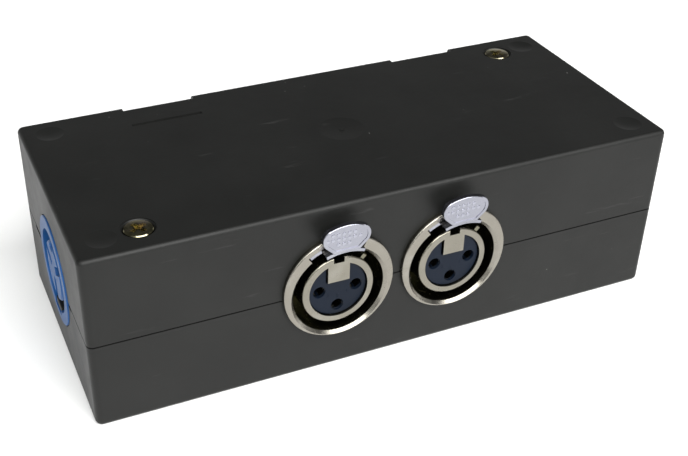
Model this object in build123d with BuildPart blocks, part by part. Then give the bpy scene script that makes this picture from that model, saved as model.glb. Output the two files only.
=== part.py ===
from build123d import *
import os
from math import cos, radians, sin

# Active direct injection box: a split plastic case with two latching XLR inputs on the front,
# two XLR outputs on the back and a twist-lock mains inlet on the left end.
# Millimetres. +X runs along the case, -Y is the front, +Z is up.
# The origin is the centre of the case's underside.

os.makedirs("parts", exist_ok=True)

# --- case ---
LENGTH = 128.0
DEPTH = 55.0
HEIGHT = 39.2
SEAM_Z = 19.6
WALL = 2.6
FIT_GAP = 0.05
CORNER_R = 1.4
TOP_EDGE_R = 1.0
SEAM_CHAMFER = 0.15
TONGUE_INSET = 1.6
TONGUE_HEIGHT = 1.2
TONGUE_GAP = 0.1
INNER_LENGTH = LENGTH - 2 * WALL
INNER_DEPTH = DEPTH - 2 * WALL
CEILING_Z = HEIGHT - WALL

STRAP_CHANNEL_X = 32.9
STRAP_CHANNEL_WIDTH = 16.1
STRAP_CHANNEL_DEPTH = 1.9
STRAP_RIB_X = 33.9
STRAP_RIB_WIDTH = 16.6
STRAP_RIB_DEPTH = 0.6
GROOVE_X = -33.1
GROOVE_Y = 18.4
GROOVE_SIZE = (15.7, 1.0)
GROOVE_DEPTH = 0.4
GATE_R = 5.0
GATE_DEPTH = 0.2
GATE_NUB_R = 0.6
GATE_NUB_HEIGHT = 0.1
PRY_SLOT_HEIGHT = 0.8
PRY_SLOT_DEPTH = 1.2
PRY_SLOTS = [(-12.9, 2.6), (15.6, 6.2)]

# --- corner posts and screws ---
POST_X = 58.0
POST_Y = 21.5
POST_R = 2.5
DIMPLE_R = 3.0
DIMPLE_DEPTH = 0.3
PEG_R = 1.2
PEG_LENGTH = 3.0
PEG_GAP = 0.1
BOSS_R = 4.0
BOSSES = [(-50.7, -20.4), (50.7, 20.4)]
CASE_SCREW_R = 1.45
CASE_SCREW_LENGTH = 25.0
CASE_SCREW_HEAD_R = 2.9
CASE_SCREW_SINK = 0.25
HEAD_RISE = 0.3
RECESS_ARM = (3.5, 0.95)
RECESS_DEPTH = 1.5
COUNTERSINK_R = 3.4
HEAD_EDGE = (0.18, 0.15)
HEAD_CROWN = (1.45, 0.28)
HEAD_CONE = (-1.6, -0.15)
SCREW_TIP = (0.95, 1.0)
RECESS_ANGLE = 30
RECESS_TAPER = 12
INSERT_NUT_R = 2.3
INSERT_NUT_LENGTH = 6.0
INSERT_NUT_SINK = 0.1
THREAD_GAP = 0.03

# --- XLR connectors ---
SOCKET_X = 13.0
AXIS_Z = 19.3
FLANGE_R = 12.0
FLANGE_RISE = 1.1
FLANGE_PROUD = 1.1
FLANGE_EDGE_R = 0.5
MOUTH_CHAMFER = 0.6
BARREL_R = 10.6
CASE_HOLE_R = 10.7
CASE_HOLE_RELIEF = 0.2
MOUTH_R = 9.9
BARREL_DEPTH = 16.0
BACK_WALL = 1.5
COLLAR_R = 7.9
COLLAR_PROUD = 0.5
COLLAR_BORE_R = 6.4
SHOULDER_R = 11.65
SHOULDER_FRONT = WALL + 0.1
SHOULDER_THICKNESS = 1.1
KEY_WIDTH = 4.7
KEY_BOTTOM = 2.1
KEY_ROOT = 0.5
KEY_GAP = 0.25
COLLAR_EDGE_R = 0.5
INSERT_FRONT = 0.05
INSERT_BACK = 15.8
INSERT_CHAMFER = 0.2
CONTACT_CIRCLE_R = 4.0
CONTACT_ANGLES = [180, 270, 0]
CONTACT_BORE_R = 1.22
CONTACT_R = 1.5
CONTACT_FRONT = 0.9
HOLE_STEP = 0.2
CONTACT_BACK = 15.4
CONTACT_SPLIT = (0.4, 4.0)
CONTACT_SPLIT_DEPTH = 5.0
CONTACT_BORE_DEPTH = 10.7
HOLE_GAP = 0.13
LOWEST_ANGLE = 270
TAIL_R = 0.5
TAIL_START = 15.0
TAIL_DEPTH = 17.6
TAIL_STEP = 1.8
PIN_R = 1.2
PIN_ROOT_R = 1.7
PIN_NOSE_R = 0.6
OUTPUT_MOUTH_R = 9.6
OUTPUT_INSERT_DEPTH = 11.5
OUTPUT_INSERT_THICKNESS = 4.0
OUTPUT_NOTCH = (4.2, 3.0)
OUTPUT_NOTCH_DEPTH = 9.0
PIN_FRONT = 0.5
GROUND_ANGLE = 41.0
GROUND_FRONT = 0.05
GROUND_LENGTH = 8.5
GROUND_THICKNESS = 0.3
GROUND_TIP = 1.2
GROUND_SLOPE = (0.2, 0.7, 1.0)
GROUND_HALF = 0.45

# --- latch ---
TRAVEL = 1.4
WINDOW_R = 11.8
WINDOW_ANGLES = (62.5, 125.5)
WINDOW_CLEARANCE = 1.0
WING_R = (10.95, 11.6)
WING_ANGLES = (64.0, 124.0)
WING_FRONT = 0.9
WING_LENGTH = 3.2
WINDOW_DEPTH = WING_LENGTH - WING_FRONT + TRAVEL + 0.3
NECK_ANGLES = (69.0, 111.0)
STEM_HALF = 2.2
STEM_BOTTOM = 9.7
STEM_TOP = 11.0
STEM_FRONT = 0.8
WEDGE_TOP = 11.8
WEDGE_FRONT = 5.0
WEDGE_END = 8.7
WEDGE_SLOPE = 0.7
FORK_LENGTH = 3.5
TAB_BOTTOM = 11.4
TAB_TOP = 17.55
TAB_FRONT = 4.0
TAB_THICKNESS = 1.1
TAB_EDGE_R = 0.25
TAB_LOWER_CORNER = (2.7, TAB_BOTTOM)
TAB_SHOULDER = (4.5, 13.1)
TAB_SIDE = (5.05, 15.0)
TAB_UPPER_CORNER = (4.05, 16.7)
PANEL_MARGIN = 0.75
PANEL_DEPTH = 0.12
RAMP_GAP = 0.2
HOOK_HALF = 0.95
HOOK_TIP = 7.6
HOOK_FRONT = 7.9
HOOK_BACK = 9.6
HOOK_TOP = 12.6
HOOK_NOSE = 0.7
HOOK_RELIEF = 0.2
BAR_BOTTOM = 10.0
SLOT_HALF = 1.15
COLLAR_SLOT_END = 9.8
COLLAR_SLOT_BOTTOM = 6.6
TOWER_HALF = 3.8
TOWER_BOTTOM = 8.0
TOWER_TOP = 16.6
TOWER_END = 12.2
CHAMBER_HALF = 2.45
CHAMBER_BOTTOM = 8.4
CHAMBER_TOP = 12.1
CHAMBER_END = 11.2
CHIMNEY = (7.7, 9.8)
CHIMNEY_TOP = 15.4
SPRING_R = 0.7
SPRING_WIRE_R = 0.12
SPRING_PITCH = 0.75

# --- mains inlet ---
INLET_FLANGE_R = 11.6
INLET_PROUD = 0.3
INLET_FLANGE_THICKNESS = 1.6
INLET_RECESS = 1.35
INLET_BARREL_R = 9.9
INLET_MOUTH_R = 8.9
INLET_DEPTH = 22.0
INLET_EDGE_R = 0.25
INLET_CORE_R = 6.4
INLET_CORE_PROUD = 0.2
INLET_CORE_TAIL = 0.4
INLET_CORE_CHAMFER = 0.3
INLET_KEYWAY = (2.0, 2.4)
LUG_ANGLE = 20
LUG_WIDTH = 5.0
LUG_HEIGHT = 1.3
LUG_FRONT = 4.0
LUG_LENGTH = 4.0
LATCH_HALF = 2.5
LATCH_HEIGHTS = (-9.75, -8.1)
LATCH_PROUD = 0.1
LATCH_LENGTH = 5.0
LATCH_EDGE_R = 0.3
BLADE_CIRCLE_R = 4.2
BLADE_ANGLES = [30, 150, 270]
BLADE_SIZE = (4.0, 0.8)
BLADE_SLOT = (5.0, 1.9)
BLADE_SLOT_DEPTH = 18.0
BLADE_FRONT = 3.0
BLADE_BACK = 27.0

# --- circuit board ---
BOARD_X = (-45.5, 54.5)
BOARD_HALF_DEPTH = 24.2
BOARD_NOTCH = 13.0
BOARD_NOTCH_SHIFT = 2.0
BOARD_HOLE_GAP = 0.1
BOARD_Z = 6.0
BOARD_THICKNESS = 1.6
BOARD_TOP = BOARD_Z + BOARD_THICKNESS
BOARD_SCREWS = [(-41.0, -21.4), (-41.0, 21.4), (42.0, -21.4), (42.0, 21.4)]
STANDOFF_R = 2.6
BOARD_SCREW_R = 1.15
BOARD_SCREW_LENGTH = 4.6
BOARD_SCREW_HEAD = (2.2, 1.3)
BOARD_SCREW_CROSS = (2.6, 0.6)
BOARD_SCREW_CROSS_DEPTH = 0.8
WIRE_R = 1.0
WIRE_BEND_R = 2.4
WIRE_PLANE_X = -27.5
TERMINAL_X = (-38.0, -31.0)
TERMINAL_Y = [-21.5, -16.5, -11.5]
TERMINAL_Z = 11.5
TERMINAL_WIDTH = 15.0
TERMINAL_HEIGHT = 9.5
TERMINAL_WIRE_DEPTH = 3.2
TERMINAL_SCREW_R = 1.9
TERMINAL_SCREW_SLOT = (3.4, 0.6)
TERMINAL_SCREW_DEPTH = 1.5

# --- components on the board ---
CORE_SIZE = (15.6, 13.0)
CORE_DEPTH = 5.0
CORE_RISE = 7.2
CORE_WINDOW = (2.8, 7.8)
CORE_WINDOW_X = 3.9
WINDING_SIZE = (10.4, 7.6)
WINDING_DEPTH = 10.0
WINDING_CORNER_R = 1.0
WINDING_GAP = 0.1
MODULE_PLACE = (42.0, -1.0)
MODULE_SIZE = (22.0, 26.0)
MODULE_HEIGHT = 15.0
MODULE_CORNER_R = 1.5
MODULE_EDGE_R = 0.6
FUSE_X = (-45.0, -25.8)
FUSE_Y = 15.5
FUSE_Z = 12.4
FUSE_R = 2.3
FUSE_CAP_R = 2.6
FUSE_CAP_LENGTH = 4.6
CLIP_WIDTH = 6.2
CLIP_LENGTH = 3.4
CLIP_RISE = 2.4
CLIP_OPENING = 3.6
CAPACITORS = [(31.0, 19.0), (31.0, -19.0), (50.0, -19.0)]
CAPACITOR_R = 4.0
CAPACITOR_HEIGHT = 11.5
CAPACITOR_EDGE_R = 0.5
CHIP_SIZE = (6.4, 9.4)
CHIP_RISE = 0.5
CHIP_HEIGHT = 3.3
CHIP_LEGS = 4
CHIP_LEG_ROWS = 7.6
CHIP_LEG_PITCH = 2.54
CHIP_LEG = (0.3, 0.6)
CHIP_LEG_HEIGHT = 2.2
CHIP_SHOULDER = 0.2
RESISTOR_ROWS = [(-13.0, -15.5), (14.0, -15.5), (-13.0, 15.5), (14.0, 15.5)]
RESISTORS_IN_ROW = 6
RESISTOR_PITCH = 3.6
RESISTOR_SIZE = (1.6, 3.2)
RESISTOR_HEIGHT = 0.6


def save(builder, name):
    """Label a finished piece and write its STEP file."""
    builder.part.label = name
    export_step(builder.part, f"parts/{name}.step")


def front_plane(x):
    """A plane on the case's front face: local z points out of the case, local y is up."""
    return Plane(origin=(x, -DEPTH / 2, AXIS_Z), x_dir=(1, 0, 0), z_dir=(0, -1, 0))


def back_plane(x):
    """A plane on the case's back face, seen from behind."""
    return Plane(origin=(x, DEPTH / 2, AXIS_Z), x_dir=(-1, 0, 0), z_dir=(0, 1, 0))


def ring_sector(inner_r, outer_r, angles):
    """Draw the part of a ring between two angles in degrees, as a face around the local origin."""
    start, end = angles
    middle = (start + end) / 2
    with BuildLine() as outline:
        Line(on_circle(inner_r, start), on_circle(outer_r, start))
        ThreePointArc(on_circle(outer_r, start), on_circle(outer_r, middle), on_circle(outer_r, end))
        Line(on_circle(outer_r, end), on_circle(inner_r, end))
        ThreePointArc(on_circle(inner_r, end), on_circle(inner_r, middle), on_circle(inner_r, start))
    make_face(outline.edges())


def section_plane(face):
    """The plane through a connector's axis: local x is the depth into the case, local y is up."""
    return Plane(origin=face.origin, x_dir=-face.z_dir, z_dir=face.x_dir)


def on_circle(radius, angle):
    """A point on a circle, by its angle in degrees."""
    return (radius * cos(radians(angle)), radius * sin(radians(angle)))


LEFT_PLANE = Plane(origin=(-LENGTH / 2, 0, SEAM_Z), x_dir=(0, -1, 0), z_dir=(-1, 0, 0))
INPUTS = {"input_1": -SOCKET_X, "input_2": SOCKET_X}
OUTPUTS = {"output_1": -SOCKET_X, "output_2": SOCKET_X}


def connector_openings():
    """Cut the openings for all five connectors out of the case half that is being built."""
    relief = CASE_HOLE_RELIEF
    for x in INPUTS.values():
        start, end = WINDOW_ANGLES
        with BuildSketch(front_plane(x)) as hole:
            Circle(CASE_HOLE_R)
            ring_sector(MOUTH_R, WINDOW_R + relief, (start - WINDOW_CLEARANCE, end + WINDOW_CLEARANCE))
        extrude(hole.sketch, amount=-(WALL + relief), mode=Mode.SUBTRACT)
    for x in OUTPUTS.values():
        with BuildSketch(back_plane(x)) as hole:
            Circle(CASE_HOLE_R)
        extrude(hole.sketch, amount=-(WALL + relief), mode=Mode.SUBTRACT)
    with BuildSketch(LEFT_PLANE) as recess:
        Circle(INLET_FLANGE_R + relief)
    extrude(recess.sketch, amount=-INLET_RECESS, mode=Mode.SUBTRACT)
    with BuildSketch(LEFT_PLANE) as hole:
        Circle(INLET_BARREL_R + relief)
    extrude(hole.sketch, amount=-(WALL + relief), mode=Mode.SUBTRACT)


def dish(radius, depth):
    """Cut a shallow round dish into the top of the case, at the current locations."""
    ball_r = (radius**2 + depth**2) / (2 * depth)
    with Locations((0, 0, HEIGHT - depth + ball_r)):
        Sphere(ball_r, mode=Mode.SUBTRACT)


def strap_ribs(low, high):
    """Thicken the back wall from inside where the strap channels run, between two heights."""
    with BuildSketch(Plane.XY.offset(low)) as ribs:
        with Locations((-STRAP_RIB_X, INNER_DEPTH / 2), (STRAP_RIB_X, INNER_DEPTH / 2)):
            Rectangle(STRAP_RIB_WIDTH, 2 * STRAP_RIB_DEPTH)
    extrude(ribs.sketch, amount=high - low)


def strap_channels():
    """Cut the two shallow channels that run down the back face."""
    with BuildSketch(Plane.XY) as channels:
        with Locations((-STRAP_CHANNEL_X, DEPTH / 2), (STRAP_CHANNEL_X, DEPTH / 2)):
            Rectangle(STRAP_CHANNEL_WIDTH, 2 * STRAP_CHANNEL_DEPTH)
    extrude(channels.sketch, amount=HEIGHT, mode=Mode.SUBTRACT)


# --- upper case: a tray upside down, with posts that reach the seam ---
with BuildPart() as upper_case:
    with BuildSketch(Plane.XY.offset(SEAM_Z)):
        Rectangle(LENGTH, DEPTH)
    extrude(amount=HEIGHT - SEAM_Z)
    fillet(upper_case.edges().filter_by(Axis.Z), CORNER_R)
    fillet(upper_case.faces().sort_by(Axis.Z)[-1].edges(), TOP_EDGE_R)
    chamfer(upper_case.faces().sort_by(Axis.Z)[0].edges(), SEAM_CHAMFER)
    with BuildSketch(Plane.XY.offset(SEAM_Z)):
        Rectangle(INNER_LENGTH, INNER_DEPTH)
    extrude(amount=CEILING_Z - SEAM_Z, mode=Mode.SUBTRACT)
    with BuildSketch(Plane.XY.offset(SEAM_Z)):
        inset = TONGUE_INSET - TONGUE_GAP
        Rectangle(LENGTH - 2 * inset, DEPTH - 2 * inset)
    extrude(amount=TONGUE_HEIGHT + TONGUE_GAP, mode=Mode.SUBTRACT)
    with BuildSketch(Plane.XY.offset(SEAM_Z)):
        with Locations(*BOSSES):
            Circle(BOSS_R)
        with GridLocations(2 * POST_X, 2 * POST_Y, 2, 2):
            Circle(POST_R)
    extrude(amount=CEILING_Z - SEAM_Z)
    strap_ribs(SEAM_Z + TONGUE_HEIGHT + TONGUE_GAP, CEILING_Z)
    with BuildSketch(Plane.XY.offset(SEAM_Z - PEG_LENGTH)):
        with GridLocations(2 * POST_X, 2 * POST_Y, 2, 2):
            Circle(PEG_R)
    extrude(amount=PEG_LENGTH)
    with Locations(*[(x, y, HEIGHT - CASE_SCREW_SINK) for x, y in BOSSES]):
        CounterSinkHole(CASE_SCREW_R + CASE_SCREW_SINK, COUNTERSINK_R)
    with BuildSketch(Plane.XY.offset(HEIGHT)):
        with Locations(*BOSSES):
            Circle(COUNTERSINK_R)
    extrude(amount=-CASE_SCREW_SINK, mode=Mode.SUBTRACT)
    with GridLocations(2 * POST_X, 2 * POST_Y, 2, 2):
        dish(DIMPLE_R, DIMPLE_DEPTH)
    with BuildSketch(Plane.XY.offset(HEIGHT)):
        with Locations((GROOVE_X, GROOVE_Y)):
            Rectangle(*GROOVE_SIZE)
    extrude(amount=-GROOVE_DEPTH, mode=Mode.SUBTRACT)
    dish(GATE_R, GATE_DEPTH)
    with BuildSketch(Plane.XY.offset(HEIGHT - 2 * GATE_DEPTH)):
        Circle(GATE_NUB_R)
    extrude(amount=GATE_DEPTH + GATE_NUB_HEIGHT)
    strap_channels()
    connector_openings()
save(upper_case, "upper_case")

# --- lower case: floor, tongue, bosses for the screw inserts, board standoffs ---
with BuildPart() as lower_case:
    with BuildSketch(Plane.XY):
        Rectangle(LENGTH, DEPTH)
    extrude(amount=SEAM_Z)
    fillet(lower_case.edges().filter_by(Axis.Z), CORNER_R)
    fillet(lower_case.faces().sort_by(Axis.Z)[0].edges(), TOP_EDGE_R)
    chamfer(lower_case.faces().sort_by(Axis.Z)[-1].edges(), SEAM_CHAMFER)
    with BuildSketch(Plane.XY.offset(SEAM_Z)):
        Rectangle(LENGTH - 2 * TONGUE_INSET, DEPTH - 2 * TONGUE_INSET)
    extrude(amount=TONGUE_HEIGHT)
    with BuildSketch(Plane.XY.offset(WALL)):
        Rectangle(INNER_LENGTH, INNER_DEPTH)
    extrude(amount=HEIGHT, mode=Mode.SUBTRACT)
    with BuildSketch(Plane.XY.offset(WALL)):
        with Locations(*BOSSES):
            Circle(BOSS_R)
        with GridLocations(2 * POST_X, 2 * POST_Y, 2, 2):
            Circle(POST_R)
    extrude(amount=SEAM_Z - WALL)
    strap_ribs(WALL, SEAM_Z + TONGUE_HEIGHT)
    with BuildSketch(Plane.XY.offset(SEAM_Z)):
        with GridLocations(2 * POST_X, 2 * POST_Y, 2, 2):
            Circle(PEG_R + PEG_GAP)
    extrude(amount=-(PEG_LENGTH + PEG_GAP), mode=Mode.SUBTRACT)
    with BuildSketch(Plane.XY.offset(SEAM_Z)):
        with Locations(*BOSSES):
            Circle(INSERT_NUT_R)
    extrude(amount=-(INSERT_NUT_LENGTH + CASE_SCREW_R), mode=Mode.SUBTRACT)
    with BuildSketch(Plane.XY.offset(WALL)):
        with Locations(*BOARD_SCREWS):
            Circle(STANDOFF_R)
            Circle(BOARD_SCREW_R + FIT_GAP, mode=Mode.SUBTRACT)
    extrude(amount=BOARD_Z - WALL)
    for slot_y, slot_length in PRY_SLOTS:
        with BuildSketch(Plane.XY.offset(SEAM_Z)):
            with Locations((-LENGTH / 2, slot_y)):
                Rectangle(2 * PRY_SLOT_DEPTH, slot_length)
        extrude(amount=-PRY_SLOT_HEIGHT, mode=Mode.SUBTRACT)
    strap_channels()
    connector_openings()
save(lower_case, "lower_case")

# --- the two long case screws, with low raised heads and deep cross recesses ---
HEAD_Z = HEIGHT - CASE_SCREW_SINK
with BuildPart() as case_screws:
    for x, y in BOSSES:
        with BuildSketch(Plane(origin=(x, y, HEAD_Z), x_dir=(1, 0, 0), z_dir=(0, -1, 0))):
            rim = (CASE_SCREW_HEAD_R - HEAD_EDGE[0], HEAD_EDGE[1])
            tip_r, tip_height = SCREW_TIP
            cone_end, cone_start = HEAD_CONE
            with BuildLine():
                Polyline((0, HEAD_RISE), (0, -CASE_SCREW_LENGTH), (tip_r, -CASE_SCREW_LENGTH),
                         (CASE_SCREW_R, tip_height - CASE_SCREW_LENGTH), (CASE_SCREW_R, cone_end),
                         (CASE_SCREW_HEAD_R, cone_start), (CASE_SCREW_HEAD_R, 0), rim)
                ThreePointArc(rim, HEAD_CROWN, (0, HEAD_RISE))
            make_face()
        revolve(axis=Axis((x, y, 0), (0, 0, 1)))
        with BuildSketch(Plane.XY.offset(HEAD_Z + HEAD_RISE + THREAD_GAP)):
            with Locations((x, y)):
                Rectangle(*RECESS_ARM, rotation=RECESS_ANGLE)
                Rectangle(*RECESS_ARM, rotation=RECESS_ANGLE + 90)
        extrude(amount=-RECESS_DEPTH, taper=RECESS_TAPER, mode=Mode.SUBTRACT)
save(case_screws, "case_screws")

# --- brass inserts that the case screws turn into ---
with BuildPart() as screw_inserts:
    with BuildSketch(Plane.XY.offset(SEAM_Z - INSERT_NUT_LENGTH)):
        with Locations(*BOSSES):
            Circle(INSERT_NUT_R - THREAD_GAP)
            Circle(CASE_SCREW_R + THREAD_GAP, mode=Mode.SUBTRACT)
    extrude(amount=INSERT_NUT_LENGTH - INSERT_NUT_SINK)
save(screw_inserts, "screw_inserts")


def rounded_flange(face):
    """The round front flange of a connector, a little higher than its axis."""
    with BuildSketch(face) as outline:
        with Locations((0, FLANGE_RISE)):
            Circle(FLANGE_R)
    extrude(outline.sketch, amount=FLANGE_PROUD)


def barrel_and_shoulder(face):
    """The barrel behind the flange, and the shoulder that grips the case wall from inside."""
    with BuildSketch(face) as barrel:
        Circle(BARREL_R)
    extrude(barrel.sketch, amount=-BARREL_DEPTH)
    with BuildSketch(face.offset(-SHOULDER_FRONT)) as shoulder:
        Circle(SHOULDER_R)
    extrude(shoulder.sketch, amount=-SHOULDER_THICKNESS)


def box_in_section(depths, heights):
    """Draw a rectangle on a section plane from its two depths and its two heights."""
    with Locations((sum(depths) / 2, sum(heights) / 2)):
        Rectangle(depths[1] - depths[0], heights[1] - heights[0])


def key_outline(gap=0.0):
    """Draw the key that stands inside the collar, or with a gap the keyway that takes it."""
    top = COLLAR_BORE_R + KEY_ROOT
    with Locations((0, (KEY_BOTTOM - gap + top) / 2)):
        Rectangle(KEY_WIDTH + 2 * gap, top - KEY_BOTTOM + gap)


def input_housing(name, x):
    """Die-cast shell: flange, barrel, inner collar with its key, and the latch tower on top."""
    face = front_plane(x)
    section = section_plane(face)
    with BuildPart() as housing:
        rounded_flange(face)
        fillet(housing.faces().sort_by(Axis.Y)[0].edges(), FLANGE_EDGE_R)
        barrel_and_shoulder(face)
        with BuildSketch(section):
            box_in_section((SHOULDER_FRONT, TOWER_END), (TOWER_BOTTOM, TOWER_TOP))
        extrude(amount=TOWER_HALF, both=True)
        with BuildSketch(face.offset(FLANGE_PROUD)):
            Circle(MOUTH_R)
        extrude(amount=-(FLANGE_PROUD + BARREL_DEPTH - BACK_WALL), mode=Mode.SUBTRACT)
        chamfer(housing.faces().sort_by(Axis.Y)[0].inner_wires().edges(), MOUTH_CHAMFER)
        with BuildSketch(face.offset(FLANGE_PROUD)):
            ring_sector(MOUTH_R - WINDOW_CLEARANCE, WINDOW_R, WINDOW_ANGLES)
        extrude(amount=-(FLANGE_PROUD + WINDOW_DEPTH), mode=Mode.SUBTRACT)
        with BuildSketch(section):
            box_in_section((WINDOW_DEPTH, CHAMBER_END), (CHAMBER_BOTTOM, CHAMBER_TOP))
            box_in_section(CHIMNEY, (CHAMBER_TOP, CHIMNEY_TOP))
        extrude(amount=CHAMBER_HALF, both=True, mode=Mode.SUBTRACT)
        with BuildSketch(face.offset(COLLAR_PROUD)):
            Circle(COLLAR_R)
            Circle(COLLAR_BORE_R, mode=Mode.SUBTRACT)
            key_outline()
        extrude(amount=-(COLLAR_PROUD + BARREL_DEPTH))
        collar_y = face.origin.Y - COLLAR_PROUD
        circles = housing.edges().filter_by(GeomType.CIRCLE)
        rims = circles.filter_by_position(Axis.Y, collar_y - FIT_GAP, collar_y + FIT_GAP)
        fillet([rim for rim in rims if abs(rim.radius - COLLAR_R) < FIT_GAP], COLLAR_EDGE_R)
        with BuildSketch(face.offset(-BARREL_DEPTH + BACK_WALL)):
            Circle(COLLAR_BORE_R)
            key_outline()
        extrude(amount=-BACK_WALL, mode=Mode.SUBTRACT)
        with BuildSketch(face.offset(-BARREL_DEPTH + BACK_WALL)):
            key_outline()
        extrude(amount=-BACK_WALL)
        with BuildSketch(section):
            box_in_section((-COLLAR_PROUD, COLLAR_SLOT_END), (COLLAR_SLOT_BOTTOM, COLLAR_R + FIT_GAP))
        extrude(amount=SLOT_HALF, both=True, mode=Mode.SUBTRACT)
    save(housing, f"{name}_housing")


def input_insert(name, x):
    """Plastic insert with the keyway and the three contact holes."""
    face = front_plane(x)
    places = [on_circle(CONTACT_CIRCLE_R, angle) for angle in CONTACT_ANGLES]
    with BuildPart() as insert:
        with BuildSketch(face.offset(-INSERT_FRONT)):
            Circle(COLLAR_BORE_R - FIT_GAP)
        extrude(amount=INSERT_FRONT - INSERT_BACK)
        chamfer(insert.faces().sort_by(Axis.Y)[0].edges(), INSERT_CHAMFER)
        with BuildSketch(face):
            key_outline(gap=KEY_GAP)
        extrude(amount=-BARREL_DEPTH, mode=Mode.SUBTRACT)
        with BuildSketch(face):
            with Locations(*places):
                Circle(CONTACT_BORE_R + HOLE_GAP)
        extrude(amount=-CONTACT_FRONT, mode=Mode.SUBTRACT)
        with BuildSketch(face.offset(HOLE_STEP - CONTACT_FRONT)):
            with Locations(*places):
                Circle(CONTACT_R + THREAD_GAP)
        extrude(amount=-BARREL_DEPTH, mode=Mode.SUBTRACT)
    save(insert, f"{name}_insert")


def tail(face, place, depth):
    """A contact's tail: straight back, then down through the circuit board."""
    start = face.from_local_coords(Vector(place[0], place[1], -TAIL_START))
    corner = face.from_local_coords(Vector(place[0], place[1], -depth))
    end = Vector(corner.X, corner.Y, BOARD_Z + BOARD_HOLE_GAP)
    with BuildLine() as route:
        FilletPolyline(start, corner, end, radius=2 * TAIL_R)
    with BuildSketch(Plane(origin=start, z_dir=-face.z_dir)) as section:
        Circle(TAIL_R)
    sweep(section.sketch, path=route.line)


def tail_depth(angle):
    """How far behind the case face a contact's tail turns down: the bottom one goes further."""
    return TAIL_DEPTH + (TAIL_STEP if angle == LOWEST_ANGLE else 0)


def input_contacts(name, x):
    """Three split socket contacts, each with a tail to the board."""
    face = front_plane(x)
    with BuildPart() as contacts:
        for angle in CONTACT_ANGLES:
            place = on_circle(CONTACT_CIRCLE_R, angle)
            with BuildSketch(face.offset(-CONTACT_FRONT)):
                with Locations(place):
                    Circle(CONTACT_R)
            extrude(amount=CONTACT_FRONT - CONTACT_BACK)
            with BuildSketch(face.offset(-CONTACT_FRONT)):
                with Locations(place):
                    Circle(CONTACT_BORE_R)
                    Rectangle(*CONTACT_SPLIT, rotation=angle)
            extrude(amount=-CONTACT_SPLIT_DEPTH, mode=Mode.SUBTRACT)
            with BuildSketch(face.offset(-CONTACT_FRONT)):
                with Locations(place):
                    Circle(CONTACT_BORE_R)
            extrude(amount=-CONTACT_BORE_DEPTH, mode=Mode.SUBTRACT)
            tail(face, place, tail_depth(angle))
    save(contacts, f"{name}_contacts")


def ground_contact(name, x):
    """Spring strip on the collar that earths the plug's shell; its tip stands up at the front."""
    roll = radians(GROUND_ANGLE)
    face = Plane(origin=front_plane(x).origin, x_dir=(cos(roll), 0, -sin(roll)), z_dir=(0, -1, 0))
    top = COLLAR_R + GROUND_THICKNESS
    tip = COLLAR_R + GROUND_TIP
    nose, crest, foot = [GROUND_FRONT + step for step in GROUND_SLOPE]
    with BuildPart() as strip:
        with BuildSketch(section_plane(face)):
            with BuildLine():
                Polyline((GROUND_FRONT, COLLAR_R), (GROUND_LENGTH, COLLAR_R), (GROUND_LENGTH, top),
                         (foot, top), (crest, tip), (nose, tip), (GROUND_FRONT, tip + GROUND_FRONT - nose),
                         close=True)
            make_face()
        extrude(amount=GROUND_HALF, both=True)
    save(strip, f"{name}_ground_contact")


def push_tab(name, x):
    """Release tab: an oval plate, a curved wing in the window, and a forked stem with two wedges."""
    face = front_plane(x)
    section = section_plane(face)
    lower, shoulder, side, upper = TAB_LOWER_CORNER, TAB_SHOULDER, TAB_SIDE, TAB_UPPER_CORNER
    wedge_crest = WEDGE_END - WEDGE_TOP + STEM_BOTTOM
    with BuildPart() as tab:
        with BuildSketch(face.offset(TAB_FRONT)) as outline:
            with BuildLine():
                Polyline((-shoulder[0], shoulder[1]), (-lower[0], lower[1]), lower, shoulder)
                ThreePointArc(shoulder, side, upper)
                ThreePointArc(upper, (0, TAB_TOP), (-upper[0], upper[1]))
                ThreePointArc((-upper[0], upper[1]), (-side[0], side[1]), (-shoulder[0], shoulder[1]))
            make_face()
        extrude(amount=-TAB_THICKNESS)
        fillet(tab.faces().sort_by(Axis.Y)[0].edges(), TAB_EDGE_R)
        with BuildSketch(face.offset(TAB_FRONT)):
            add(outline.sketch_local)
            offset(amount=-PANEL_MARGIN, mode=Mode.REPLACE)
        extrude(amount=-PANEL_DEPTH, mode=Mode.SUBTRACT)
        with BuildSketch(face.offset(TAB_FRONT - TAB_THICKNESS / 2)):
            ring_sector(*WING_R, NECK_ANGLES)
        extrude(amount=-(TAB_FRONT - TAB_THICKNESS / 2 - WING_FRONT))
        with BuildSketch(face.offset(WING_FRONT)):
            ring_sector(*WING_R, WING_ANGLES)
        extrude(amount=-WING_LENGTH)
        with BuildSketch(section):
            with BuildLine():
                Polyline((STEM_FRONT, STEM_BOTTOM), (WEDGE_END, STEM_BOTTOM), (wedge_crest, WEDGE_TOP),
                         (WEDGE_FRONT, WEDGE_TOP), (WEDGE_FRONT - WEDGE_SLOPE, STEM_TOP),
                         (STEM_FRONT, STEM_TOP), close=True)
            make_face()
        extrude(amount=STEM_HALF, both=True)
        with BuildSketch(section):
            box_in_section((WEDGE_END - FORK_LENGTH, WEDGE_END), (STEM_BOTTOM, WEDGE_TOP))
        extrude(amount=SLOT_HALF, both=True, mode=Mode.SUBTRACT)
    save(tab, f"{name}_push_tab")


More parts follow.
